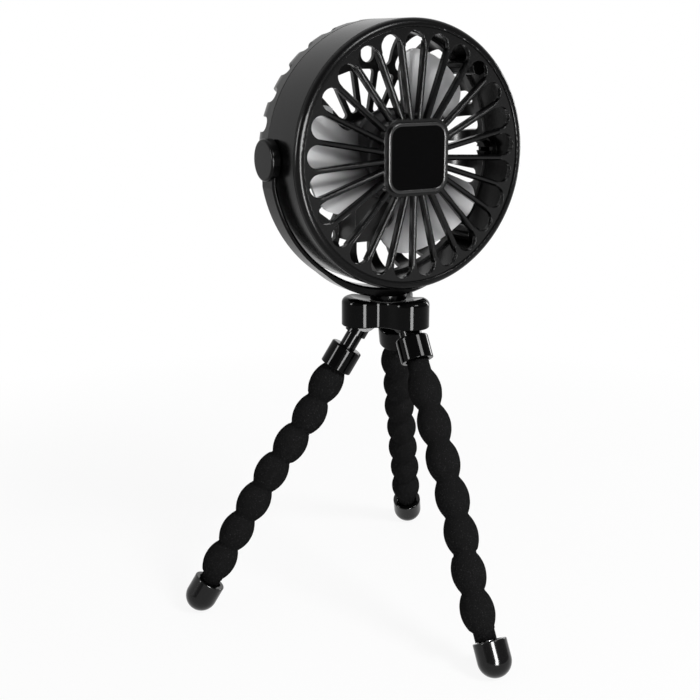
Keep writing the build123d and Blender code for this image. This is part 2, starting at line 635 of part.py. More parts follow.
def yoke():
    """U-shaped band with straight arms, a thicker keel, round ears and the foot that turns on the hub."""
    keel = Pos(0, YOKE_KEEL_RADIUS - YOKE_DROP) * Circle(YOKE_KEEL_RADIUS)
    below = Pos(0, -YOKE_DROP / 2) * Rectangle(2 * ARM_OUTER, YOKE_DROP)
    outline = arch_outline(YOKE_OUTER, ARM_OUTER) + (keel & below)
    kinks = outline.vertices().filter_by(lambda corner: corner.center().Y < -YOKE_OUTER / 2)
    band = fillet(kinks, YOKE_KEEL_RADIUS) - arch_outline(YOKE_RADIUS, ARM_INNER)
    arch = extrude(Plane.XZ * band, YOKE_WIDTH / 2, both=True)
    flat_sides = arch.faces().filter_by(Axis.Y)
    rims = [edge for face in flat_sides for edge in face.edges() if edge.center().Z < -GAP]
    arch = chamfer(rims, YOKE_EDGE)
    ear = cross_rod(EAR_RADIUS, ARM_INNER, EAR_FACE)
    ear = fillet(ear.faces().sort_by(Axis.X)[-1].edges(), EAR_EDGE)
    foot = rod(YOKE_FOOT_RADIUS, -YOKE_DROP - YOKE_FOOT_HEIGHT, -YOKE_DROP + YOKE_WALL / 2)
    pin_hole = cross_rod(PIVOT_RADIUS + SEAT, RING_RADIUS, ARM_INNER + PIVOT_IN_EAR)
    well_low = -YOKE_DROP - YOKE_FOOT_HEIGHT
    well = rod(INSERT_RADIUS + SEAT, well_low, well_low + INSERT_LENGTH + SEAT)
    return arch + around(ear, 2) + foot - around(pin_hole, 2) - well


def pivot_pin():
    """Split snap pin from the right ear through the housing wall, with a barb behind the boss."""
    barb = BOSS_FACE - GAP
    shank = cross_rod(PIVOT_RADIUS, barb, ARM_INNER + PIVOT_IN_EAR)
    tip = Cone(PIVOT_RADIUS, BARB_RADIUS, BARB_LENGTH, align=(Align.CENTER, Align.CENTER, Align.MAX))
    pin = shank + Pos(barb, 0, 0) * Rot(0, 90, 0) * tip
    slit_end = ARM_INNER - EAR_CLEARANCE / 4
    slit = block(barb - 2 * BARB_LENGTH, slit_end, -BARB_RADIUS, BARB_RADIUS, -PIVOT_SLIT / 2, PIVOT_SLIT / 2)
    return pin - slit


def thread_insert():
    """Brass insert in the yoke's foot."""
    low = YOKE_BOTTOM
    return rod(INSERT_RADIUS, low, low + INSERT_LENGTH) - rod(BOLT_RADIUS + SEAT, low, low + INSERT_LENGTH)


def swivel_bolt():
    """Bolt that holds the yoke to the hub and turns with the yoke."""
    head = rod(BOLT_HEAD_RADIUS, WELL_TOP - RUN - BOLT_HEAD_HEIGHT, WELL_TOP - RUN)
    return head + rod(BOLT_RADIUS, WELL_TOP - RUN, YOKE_BOTTOM + INSERT_LENGTH)


def friction_washer():
    """Washer between the hub's seat and the yoke's foot."""
    high = HUB_SEAT + WASHER_HEIGHT
    return rod(WASHER_RADIUS, HUB_SEAT, high) - rod(BOLT_RADIUS + RUN, HUB_SEAT, high)


def pin_place(leg):
    """Where a leg's hinge pin crosses the leg, with X pointing outwards along the leg."""
    turn = radians(LOBE_ANGLE[leg])
    spot = Pos(PIN_CIRCLE * cos(turn), PIN_CIRCLE * sin(turn), PIN_HEIGHT)
    return spot * Rot(0, 0, LEG_ANGLE[leg])


def leg_pocket():
    """Room for a knuckle in a lobe, from folded to spread, about the hinge pin."""
    room = EYE_RADIUS + GAP
    spread = radians(LEG_SPREAD)
    low = HUB_BELOW_PIN + EYE_RADIUS
    slant = room / cos(spread) + low * tan(spread)
    tangent = (room * cos(spread), room * sin(spread))
    side = make_face(Polyline((-room, 0), (-room, -low), (slant, -low), tangent, close=True))
    profile = Plane.XZ * (side + Circle(room))
    return extrude(profile, SLEEVE_RADIUS + GAP, both=True)


def tripod_hub():
    """Three-lobed hub with a dished top, leg pockets, hinge pin holes and the bolt's well."""
    outline = Sketch()
    for leg in LOBE_ANGLE:
        arm = Pos(LOBE_CIRCLE / 2, 0) * Rectangle(LOBE_CIRCLE, 2 * LOBE_RADIUS)
        outline = outline + Rot(0, 0, LOBE_ANGLE[leg]) * (arm + Pos(LOBE_CIRCLE, 0) * Circle(LOBE_RADIUS))
    valleys = [corner for corner in outline.vertices() if corner.center().length < LOBE_CIRCLE]
    body = slab(fillet(valleys, LOBE_VALLEY), HUB_BOTTOM, HUB_TOP)
    body = fillet(body.faces().sort_by(Axis.Z)[-1].edges(), HUB_TOP_ROUND)
    body = fillet(body.faces().sort_by(Axis.Z)[0].edges(), HUB_LOW_EDGE)
    dish_edge = LOBE_CIRCLE + LOBE_RADIUS / 2
    dish = Polyline((0, HUB_SEAT), (SEAT_RADIUS, HUB_SEAT), (dish_edge, HUB_TOP), (0, HUB_TOP), close=True)
    body = body - turned(dish)
    for leg in LEG_ANGLE:
        body = body - pin_place(leg) * leg_pocket()
        body = body - pin_place(leg) * Rot(90, 0, 0) * hinge_pin(SEAT)
    well = rod(BOLT_WELL_RADIUS, HUB_BOTTOM, WELL_TOP)
    return body - well - rod(BOLT_RADIUS + RUN, WELL_TOP, HUB_SEAT)


def hinge_pin(clearance):
    """A hinge pin along Z, or the hole for one."""
    half = SLEEVE_RADIUS + GAP + HINGE_PIN_GRIP + clearance
    return rod(HINGE_PIN_RADIUS + clearance, -half, half)


def hinge_pins():
    """The three hinge pins, fixed in the hub."""
    return Compound([pin_place(leg) * Rot(90, 0, 0) * hinge_pin(0) for leg in LEG_ANGLE])


def hub_cap():
    """Cap that closes the bolt's well from below."""
    return rod(BOLT_WELL_RADIUS - SEAT, HUB_BOTTOM, HUB_BOTTOM + HUB_CAP_HEIGHT)


def knuckle():
    """Hinge eye, sleeve and stud of a leg, with the leg running down from the pin."""
    eye = Rot(90, 0, 0) * rod(EYE_RADIUS, -SLEEVE_RADIUS, SLEEVE_RADIUS)
    stem = rod(SLEEVE_RADIUS, -SLEEVE_END, 0) + rod(STUD_RADIUS, -STUD_END, -SLEEVE_END)
    bore = Rot(90, 0, 0) * rod(HINGE_PIN_RADIUS + RUN, -SLEEVE_RADIUS, SLEEVE_RADIUS)
    return eye + stem - bore - rod(WIRE_RADIUS + SEAT, -STUD_END, WIRE_IN_STUD - STUD_END)


def collar(slip):
    """Turned collar, open below, that has slid down the stud by an amount."""
    top = -SLEEVE_END - SEAT - slip
    low = top - COLLAR_LENGTH
    body = rod(COLLAR_RADIUS, low, top)
    body = fillet(body.faces().sort_by(Axis.Z)[-1].edges(), COLLAR_TOP_EDGE)
    body = fillet(body.faces().sort_by(Axis.Z)[0].edges(), COLLAR_LOW_EDGE)
    body = body - rod(STUD_RADIUS + SEAT, low, top)
    return body - rod(COLLAR_BORE, low, top - COLLAR_TOP_WALL)


def foam_sleeve():
    """The whole beaded sleeve with its straight ends, its wire bore and its stud bore."""
    tail_end = -CUP_FLOOR
    tail = [(0, tail_end), (TAIL_RADIUS, tail_end), (TAIL_RADIUS, -LAST_NECK), (NECK_RADIUS, -LAST_NECK)]
    outline = Polyline(*tail)
    for bead in range(BEAD_COUNT):
        low = -LAST_NECK + bead * BEAD_PITCH
        middle = (BEAD_RADIUS, low + BEAD_PITCH / 2)
        outline = outline + ThreePointArc((NECK_RADIUS, low), middle, (NECK_RADIUS, low + BEAD_PITCH))
    head = [(NECK_RADIUS, -FIRST_BEAD), (NECK_RADIUS, -FOAM_TOP), (0, -FOAM_TOP), (0, tail_end)]
    outline = outline + Polyline(*head)
    wire = rod(WIRE_RADIUS + SEAT, tail_end, -FOAM_TOP)
    return turned(outline) - wire - rod(STUD_RADIUS + SEAT, -STUD_END, -FOAM_TOP)


def flex_space(radius, side):
    """The space above (1) or below (-1) the flexing neck, ending in a ball or a cup about its centre."""
    slope = radians(FLEX_LIMIT / 2)
    reach = 3 * BEAD_RADIUS
    end = side * DOME_CENTRE
    start = (radius * cos(slope), side * radius * sin(slope))
    ring = (reach, side * reach * tan(slope))
    middle = (side * slope - radians(90)) / 2
    bulge = (radius * cos(middle), radius * sin(middle))
    arc = ThreePointArc((0, -radius), bulge, start)
    rest = Polyline(start, ring, (reach, end), (0, end), (0, -radius))
    return Pos(0, 0, -FLEX_NECK) * turned(arc + rest)


def foam_upper():
    """Sleeve from the stud to the ball at the flexing neck."""
    return foam_sleeve() & flex_space(FLEX_BALL, 1)


def foam_lower():
    """Sleeve from the cup at the flexing neck to the foot."""
    return foam_sleeve() & flex_space(FLEX_BALL + GAP, -1)


def wire_upper():
    """Bendable wire from the stud down to the ball."""
    return rod(WIRE_RADIUS, GAP - FLEX_NECK - FLEX_BALL, WIRE_IN_STUD - STUD_END)


def wire_lower():
    """Bendable wire from the cup down into the foot."""
    return rod(WIRE_RADIUS, -CUP_FLOOR - WIRE_SOCKET, -FLEX_NECK - FLEX_BALL - 2 * GAP)


def foot():
    """Domed foot, a cup that takes the sleeve's tail and the wire's end."""
    edge = FOOT_RADIUS - FOOT_EDGE
    top = Line((0, -FOOT_RIM), (edge, -FOOT_RIM))
    rim = CenterArc((edge, -FOOT_RIM - FOOT_EDGE), FOOT_EDGE, 90, -90)
    wall = Line((FOOT_RADIUS, -FOOT_RIM - FOOT_EDGE), (FOOT_RADIUS, -DOME_CENTRE))
    dome = CenterArc((0, -DOME_CENTRE), FOOT_RADIUS, 0, -90)
    axis = Line((0, -DOME_CENTRE - FOOT_RADIUS), (0, -FOOT_RIM))
    cup = turned(top + rim + wall + dome + axis) - rod(FOOT_BORE, -CUP_FLOOR, -FOOT_RIM)
    return cup - rod(WIRE_RADIUS + SEAT, -CUP_FLOOR - WIRE_SOCKET - SEAT, -CUP_FLOOR)


head_pieces = {
    "front_ring": front_ring,
    "front_grille": front_grille,
    "badge_frame": badge_frame,
    "centre_badge": centre_badge,
    "rear_cover": rear_cover,
    "pod_cover": pod_cover,
    "pod_screws": pod_screws,
    "housing_screws": housing_screws,
    "motor_can": motor_can,
    "motor_end_cap": motor_end_cap,
    "motor_shaft": motor_shaft,
    "fan_rotor": fan_rotor,
    "battery_cell": battery_cell,
    "circuit_board": circuit_board,
    "tact_switch": tact_switch,
    "switch_plunger": switch_plunger,
    "power_button": power_button,
    "usb_socket": usb_socket,
    "indicator_lens": indicator_lens,
}
stand_pieces = {
    "thread_insert": thread_insert,
    "swivel_bolt": swivel_bolt,
    "friction_washer": friction_washer,
    "tripod_hub": tripod_hub,
    "hinge_pins": hinge_pins,
    "hub_cap": hub_cap,
}
leg_pieces = {
    "knuckle": knuckle(),
    "wire_upper": wire_upper(),
    "foam_upper": foam_upper(),
    "foam_lower": foam_lower(),
    "wire_lower": wire_lower(),
    "foot": foot(),
}

shapes = {name: HEAD * make() for name, make in head_pieces.items()}
shapes.update({name: make() for name, make in stand_pieces.items()})
YOKE_PLACE = Pos(0, 0, PIVOT_HEIGHT)
shapes["yoke"] = YOKE_PLACE * yoke()
shapes["pivot_pin_right"] = YOKE_PLACE * pivot_pin()
shapes["pivot_pin_left"] = YOKE_PLACE * Rot(0, 0, 180) * pivot_pin()
for leg in LEG_ANGLE:
    place = pin_place(leg) * Rot(0, -LEG_SPREAD, 0)
    for piece, shape in leg_pieces.items():
        shapes[f"{piece}_{leg}"] = place * shape
    shapes[f"collar_{leg}"] = place * collar(COLLAR_SLIP[leg])

os.makedirs("parts", exist_ok=True)
for name, shape in shapes.items():
    export_step(shape, f"parts/{name}.step")
print(f"pin height {PIN_HEIGHT:.3f}, pivot height {PIVOT_HEIGHT:.3f}, flexing neck at {FLEX_NECK:.2f}")
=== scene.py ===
"""Looks of a small battery fan in a yoke, on a tripod with bending sponge legs.

Every length is in metres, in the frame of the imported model: +Z up, the fan facing -Y.
"""

from __future__ import annotations

import json
import logging
import math
from dataclasses import dataclass, field
from enum import Enum
from functools import cache

import bpy
from mathutils import Matrix, Vector

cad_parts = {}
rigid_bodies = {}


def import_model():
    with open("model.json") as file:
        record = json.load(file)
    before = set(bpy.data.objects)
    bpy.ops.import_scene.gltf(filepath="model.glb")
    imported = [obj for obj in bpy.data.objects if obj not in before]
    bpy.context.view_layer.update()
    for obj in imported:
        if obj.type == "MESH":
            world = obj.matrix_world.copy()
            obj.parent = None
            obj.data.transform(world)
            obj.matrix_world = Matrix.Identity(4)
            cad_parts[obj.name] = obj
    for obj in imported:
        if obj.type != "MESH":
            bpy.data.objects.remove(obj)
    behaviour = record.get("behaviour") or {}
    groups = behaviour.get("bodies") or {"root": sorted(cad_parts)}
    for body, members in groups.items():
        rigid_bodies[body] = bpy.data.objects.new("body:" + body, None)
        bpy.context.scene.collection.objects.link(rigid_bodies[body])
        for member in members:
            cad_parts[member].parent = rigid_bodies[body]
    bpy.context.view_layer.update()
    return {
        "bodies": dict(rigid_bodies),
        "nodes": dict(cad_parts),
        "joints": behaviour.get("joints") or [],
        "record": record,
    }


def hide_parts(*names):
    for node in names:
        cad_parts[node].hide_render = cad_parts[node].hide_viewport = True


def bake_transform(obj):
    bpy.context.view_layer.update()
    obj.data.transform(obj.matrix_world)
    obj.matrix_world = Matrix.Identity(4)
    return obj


LOG = logging.getLogger("fan")
MM = 0.001
Colour = tuple[float, float, float]
WHITE: Colour = (1.0, 1.0, 1.0)


class Value:
    """A shader value on which ordinary arithmetic adds Math nodes."""

    def __init__(self, sheet: NodeSheet, socket: bpy.types.NodeSocket) -> None:
        """Keeps the sheet and the socket that the value comes from."""
        self.sheet = sheet
        self.socket = socket

    def _math(self, operation: str, first: Value | float, second: Value | float) -> Value:
        """Adds one Math node.

        Args:
            operation: the Math node's operation.
            first: its first value.
            second: its second value.

        Returns:
            The node's result.
        """
        made = self.sheet.node("ShaderNodeMath", {"operation": operation}, {0: first, 1: second})
        return Value(self.sheet, made.outputs[0])

    def __add__(self, other: Value | float) -> Value:
        """Sum."""
        return self._math("ADD", self, other)

    def __radd__(self, other: float) -> Value:
        """Sum with a number on the left."""
        return self._math("ADD", other, self)

    def __sub__(self, other: Value | float) -> Value:
        """Difference."""
        return self._math("SUBTRACT", self, other)

    def __rsub__(self, other: float) -> Value:
        """Difference from a number on the left."""
        return self._math("SUBTRACT", other, self)

    def __mul__(self, other: Value | float) -> Value:
        """Product."""
        return self._math("MULTIPLY", self, other)

    def __rmul__(self, other: float) -> Value:
        """Product with a number on the left."""
        return self._math("MULTIPLY", other, self)

    def __gt__(self, other: Value | float) -> Value:
        """One where this value is the larger, else nought."""
        return self._math("GREATER_THAN", self, other)


class NodeSheet:
    """An empty node tree on which one method makes every node."""

    def __init__(self, tree: bpy.types.NodeTree) -> None:
        """Clears a tree and keeps it.

        Args:
            tree: the node tree of a material or of the world.
        """
        self.tree = tree
        self.tree.nodes.clear()

    def node(self, kind: str, settings: dict | None = None, inputs: dict | None = None) -> bpy.types.Node:
        """Adds a node, sets it up and feeds its sockets.

        Args:
            kind: the node's type.
            settings: properties that are set first.
            inputs: values or links by socket name or number.

        Returns:
            The new node.
        """
        made = self.tree.nodes.new(kind)
        for key, setting in (settings or {}).items():
            setattr(made, key, setting)
        for key, value in (inputs or {}).items():
            self.feed(made.inputs[key], value)
        return made

    def feed(self, socket: bpy.types.NodeSocket, value: object) -> None:
        """Links a socket to a value, or sets it to a number or a colour.

        Args:
            socket: the socket to feed.
            value: a Value, an output socket, a number or a colour.
        """
        if isinstance(value, Value):
            self.tree.links.new(value.socket, socket)
        elif isinstance(value, bpy.types.NodeSocket):
            self.tree.links.new(value, socket)
        elif isinstance(value, tuple) and socket.type == "RGBA":
            socket.default_value = (*value[:3], 1.0)
        else:
            socket.default_value = value

    def place(self) -> bpy.types.NodeSocket:
        """The point on a piece, in metres, or the direction where the tree is the world's."""
        return self.node("ShaderNodeTexCoord").outputs["Object"]

    def noise(self, size: float, detail: float = 2.0, rough: float = 0.5) -> Value:
        """A cloudy pattern from nought to one.

        Args:
            size: length of one patch, in metres.
            detail: how many finer layers it has.
            rough: how strong the finer layers are.

        Returns:
            The pattern.
        """
        inputs = {"Vector": self.place(), "Scale": 1.0 / size, "Detail": detail, "Roughness": rough}
        return Value(self, self.node("ShaderNodeTexNoise", None, inputs).outputs["Fac"])

    def cells(self, size: float) -> Value:
        """Distance to the nearest cell centre, for pores.

        Args:
            size: width of a cell, in metres.

        Returns:
            The distance, in cells.
        """
        made = self.node("ShaderNodeTexVoronoi", None, {"Vector": self.place(), "Scale": 1.0 / size})
        return Value(self, made.outputs["Distance"])

    def blend_colour(self, factor: Value, first: Colour, second: Colour) -> bpy.types.NodeSocket:
        """Mixes two colours.

        Args:
            factor: nought gives the first and one the second.
            first: a colour.
            second: a colour.

        Returns:
            The mixed colour.
        """
        mixed = self.node("ShaderNodeMix", {"data_type": "RGBA"}, {0: factor, 6: first, 7: second})
        return mixed.outputs[2]

    def white_share(self, reach: Value | float = 1.0) -> Value:
        """One for rays that see the background straight, in a mirror or through glass.

        Args:
            reach: the share that mirrors and glass show.

        Returns:
            The share of white.
        """
        path = self.node("ShaderNodeLightPath").outputs
        mirrored = Value(self, path["Is Glossy Ray"]) + Value(self, path["Is Transmission Ray"])
        return mirrored * reach + Value(self, path["Is Camera Ray"])

    def behind(self, blend: float) -> Value:
        """One for directions away from the viewer, towards the backdrop, and nought for the rest.

        Args:
            blend: how far the change reaches to either side.

        Returns:
            The share.
        """
        depth = self.node("ShaderNodeSeparateXYZ", None, {0: self.place()}).outputs["Y"]
        return self.span(Value(self, depth), -blend, blend)

    def span(self, value: Value, low: float, high: float) -> Value:
        """Where a value stands between two limits.

        Args:
            value: the value.
            low: the limit that gives nought, as does anything below it.
            high: the limit that gives one, as does anything above it.

        Returns:
            The share.
        """
        limits = {"Value": value, "From Min": low, "From Max": high}
        return Value(self, self.node("ShaderNodeMapRange", None, limits).outputs[0])


class ShaderSheet(NodeSheet):
    """A material's node tree, with a principled shader ready on it."""

    def __init__(self, name: str) -> None:
        """Makes the material and its shader.

        Args:
            name: the material's name.
        """
        self.material = bpy.data.materials.new(name)
        self.material.use_nodes = True
        super().__init__(self.material.node_tree)
        self.shader = self.node("ShaderNodeBsdfPrincipled")
        self.output = self.node("ShaderNodeOutputMaterial", None, {"Surface": self.shader.outputs[0]})

    def set(self, **inputs: object) -> None:
        """Feeds the shader's sockets, with underscores in place of spaces."""
        for key, value in inputs.items():
            self.feed(self.shader.inputs[key.replace("_", " ")], value)

    def relief(self, height: Value, depth: float, softened: float = 0.0) -> None:
        """Feeds the shader's normal from a height pattern, with sharp edges softened under it.

        Args:
            height: the pattern, from nought to one.
            depth: its depth, in metres.
            softened: radius that sharp edges seem to have, in metres.
        """
        inputs = {"Strength": 1.0, "Distance": depth, "Height": height}
        if softened > 0.0:
            inputs["Normal"] = self.node("ShaderNodeBevel", None, {"Radius": softened}).outputs["Normal"]
        self.set(Normal=self.node("ShaderNodeBump", None, inputs).outputs["Normal"])


@dataclass(frozen=True)
class Plastic:
    """A moulded plastic, from fine satin grain to gloss."""

    name: str
    colour: Colour
    roughness: float
    unevenness: float = 0.05
    grain: float = 0.0
    grain_size: float = 0.25 * MM
    specular: float = 0.4
    edge: float = 0.0
    haze_size: float = 9.0 * MM
    haze_lift: float = 1.25

    def material(self) -> bpy.types.Material:
        """Makes the plastic's material.

        Returns:
            The material, whose edges are softened only where it has a grain.
        """
        sheet = ShaderSheet(self.name)
        haze = sheet.noise(self.haze_size)
        lighter = tuple(min(1.0, self.haze_lift * part) for part in self.colour)
        sheet.set(
            Base_Color=sheet.blend_colour(haze, self.colour, lighter),
            Roughness=(haze - 0.5) * self.unevenness + self.roughness,
            Specular_IOR_Level=self.specular,
        )
        if self.grain > 0.0:
            sheet.relief(sheet.noise(self.grain_size, 1.0), self.grain, self.edge)
        return sheet.material


@dataclass(frozen=True)
class MilkyRotor:
    """A milky grey plastic that lets some light through, with painted shade darkening its colour towards the
    hub.
    """

    name: str = "rotor_milky_grey"
    # Dark colour at the hub: painted shade.
    hub_shade_colour: Colour = (0.06, 0.06, 0.062)
    tip_colour: Colour = (0.9, 0.9, 0.905)
    hub_radius: float = 18.0 * MM
    tip_radius: float = 44.0 * MM
    roughness: float = 0.5
    unevenness: float = 0.06
    haze_size: float = 6.0 * MM
    clearness: float = 0.25
    bend: float = 1.12

    def material(self, axis: Vector) -> bpy.types.Material:
        """Makes the rotor's material.

        Args:
            axis: a point on the rotor's axis, which runs along Y.

        Returns:
            The material.
        """
        sheet = ShaderSheet(self.name)
        place = sheet.node("ShaderNodeSeparateXYZ", None, {0: sheet.place()})
        across = Value(sheet, place.outputs["X"]) - axis.x
        height = Value(sheet, place.outputs["Z"]) - axis.z
        # Painted shade: the base colour runs from dark at the hub to pale at the tips, in place of the shade
        # that the badge and grille cast on the blades.
        out_of_hub_shade = sheet.span(across * across + height * height, self.hub_radius**2, self.tip_radius**2)
        sheet.set(
            Base_Color=sheet.blend_colour(out_of_hub_shade, self.hub_shade_colour, self.tip_colour),
            Roughness=(sheet.noise(self.haze_size) - 0.5) * self.unevenness + self.roughness,
            Transmission_Weight=self.clearness,
            IOR=self.bend,
        )
        return sheet.material


@dataclass(frozen=True)
class Metal:
    """A plain metal with fine unevenness."""

    name: str
    colour: Colour
    roughness: float
    unevenness: float = 0.15
    haze_size: float = 2.0 * MM
    haze_shade: float = 0.8

    def material(self) -> bpy.types.Material:
        """Makes the metal's material.

        Returns:
            The material.
        """
        sheet = ShaderSheet(self.name)
        haze = sheet.noise(self.haze_size)
        darker = tuple(self.haze_shade * part for part in self.colour)
        sheet.set(
            Base_Color=sheet.blend_colour(haze, self.colour, darker),
            Roughness=(haze - 0.5) * self.unevenness + self.roughness,
            Metallic=1.0,
        )
        return sheet.material


@dataclass(frozen=True)
class Sponge:
    """Matt open-cell sponge with small pores and pale specks."""

    name: str
    colour: Colour
    speck_colour: Colour
    pore_size: float = 0.55 * MM
    pore_depth: float = 0.16 * MM
    speck_size: float = 0.44 * MM
    speck_share: float = 0.66
    dent_size: float = 1.375 * MM
    roughness: float = 0.95

    def material(self) -> bpy.types.Material:
        """Makes the sponge's material.

        Returns:
            The material.
        """
        sheet = ShaderSheet(self.name)
        pores = sheet.cells(self.pore_size)
        specks = sheet.noise(self.speck_size) > self.speck_share
        colour = sheet.blend_colour(specks, self.colour, self.speck_colour)
        sheet.set(Base_Color=colour, Roughness=self.roughness, Specular_IOR_Level=0.0)
        sheet.relief(pores + sheet.noise(self.dent_size), self.pore_depth)
        return sheet.material


class Finish(Enum):
    """The finishes of this fan's pieces."""

    HOUSING = Plastic(
        "housing_satin_black", (0.0026, 0.0026, 0.0027), 0.2, grain=0.004 * MM, specular=0.11, edge=0.3 * MM
    )
    REAR = Plastic(
        "rear_satin_black", (0.0026, 0.0026, 0.0027), 0.3, grain=0.004 * MM, specular=0.28, edge=0.3 * MM
    )
    GRILLE = Plastic(
        "grille_satin_black", (0.0018, 0.0018, 0.0019), 0.16, grain=0.002 * MM, specular=0.23, edge=0.5 * MM
    )
    YOKE = Plastic(
        "yoke_satin_black", (0.0024, 0.0024, 0.0025), 0.16, grain=0.003 * MM, specular=0.09, edge=0.4 * MM
    )
    BADGE = Plastic("badge_gloss_black", (0.001, 0.001, 0.0011), 0.08, specular=0.03)
    BORDER = Plastic(
        "border_gloss_black", (0.0015, 0.0015, 0.0016), 0.25, grain=0.002 * MM, specular=0.5, edge=0.5 * MM
    )
    HUB = Plastic("hub_gloss_black", (0.0012, 0.0012, 0.0013), 0.07, specular=0.07)
    COLLAR = Plastic("collar_gloss_black", (0.0012, 0.0012, 0.0013), 0.07, specular=0.07)
    FOOT = Plastic("foot_gloss_black", (0.002, 0.002, 0.0021), 0.12, specular=0.26)
    KNUCKLE = Plastic("knuckle_black", (0.0018, 0.0018, 0.0019), 0.12, specular=0.1)
    BUTTON = Plastic("button_black", (0.01, 0.01, 0.0105), 0.3)
    SWITCH = Plastic("switch_black", (0.02, 0.02, 0.02), 0.5)
    MOTOR_CAP = Plastic("motor_cap_black", (0.02, 0.02, 0.02), 0.5)
    WASHER = Plastic("washer_nylon", (0.03, 0.03, 0.03), 0.5)
    BOARD = Plastic("board_green", (0.02, 0.12, 0.05), 0.45)
    LENS = Plastic("lens_milky", (0.7, 0.71, 0.73), 0.2)
    STEEL = Metal("bright_steel", (0.55, 0.55, 0.56), 0.3)
    MOTOR = Metal("motor_steel", (0.5, 0.5, 0.51), 0.38)
    BATTERY = Metal("battery_foil", (0.6, 0.6, 0.62), 0.42)
    BRASS = Metal("insert_brass", (0.72, 0.53, 0.26), 0.3)
    SPONGE = Sponge("sponge_black", (0.0115, 0.0115, 0.0117), (0.04, 0.04, 0.041))


@cache
def material_of(finish: Finish) -> bpy.types.Material:
    """A finish's material, made on first use.

    Args:
        finish: the finish.

    Returns:
        The one material of that finish.
    """
    return finish.value.material()


def coat(piece: bpy.types.Object, material: bpy.types.Material) -> None:
    """Gives a piece one material all over.

    Args:
        piece: the piece.
        material: its material.
    """
    piece.data.materials.clear()
    piece.data.materials.append(material)
    LOG.info("%s: %s", piece.name, material.name)


def dress_nodes(nodes: dict[str, bpy.types.Object], finish: Finish, *names: str) -> None:
    """Gives CAD nodes one finish and reports each.

    Args:
        nodes: the frame's nodes by name.
        finish: the finish.
        names: the nodes to dress.
    """
    for name in names:
        coat(nodes[name], material_of(finish))


class Bench:
    """Small modelling helpers on Blender's operators."""

    @staticmethod
    def clear() -> None:
        """Deselects everything."""
        bpy.ops.object.select_all(action="DESELECT")

    @staticmethod
    def pick(piece: bpy.types.Object) -> None:
        """Selects one piece alone and makes it the active one.

        Args:
            piece: the piece.
        """
        Bench.clear()
        piece.select_set(True)
        bpy.context.view_layer.objects.active = piece

    @staticmethod
    def ring(name: str, radius: float, sides: int) -> bpy.types.Object:
        """Starts a turned piece as a ring of edges about Z.

        Args:
            name: the piece's name.
            radius: the ring's radius.
            sides: how many edges it has.

        Returns:
            The new piece.
        """
        Bench.clear()
        bpy.ops.mesh.primitive_circle_add(vertices=sides, radius=radius)
        piece = bpy.context.active_object
        piece.name = name
        piece.data.name = name
        return piece

    @staticmethod
    def draw_out(stations: list[tuple[Vector, float]]) -> None:
        """Extrudes the selected ring through stations of (centre, radius).

        Args:
            stations: centres and radii, the first being the ring's own.
        """
        for (here, before), (there, after) in zip(stations, stations[1:]):
            bpy.ops.mesh.extrude_region_move(TRANSFORM_OT_translate={"value": there - here})
            share = after / before
            bpy.ops.transform.resize(value=(share, share, 1.0), center_override=there)

    @staticmethod
    def settle(piece: bpy.types.Object, place: Matrix) -> None:
        """Moves a piece to its place and applies that to its mesh.

        Args:
            piece: the piece.
            place: where it goes.
        """
        Bench.pick(piece)
        piece.matrix_world = place
        bpy.ops.object.transform_apply(location=True, rotation=True, scale=True)


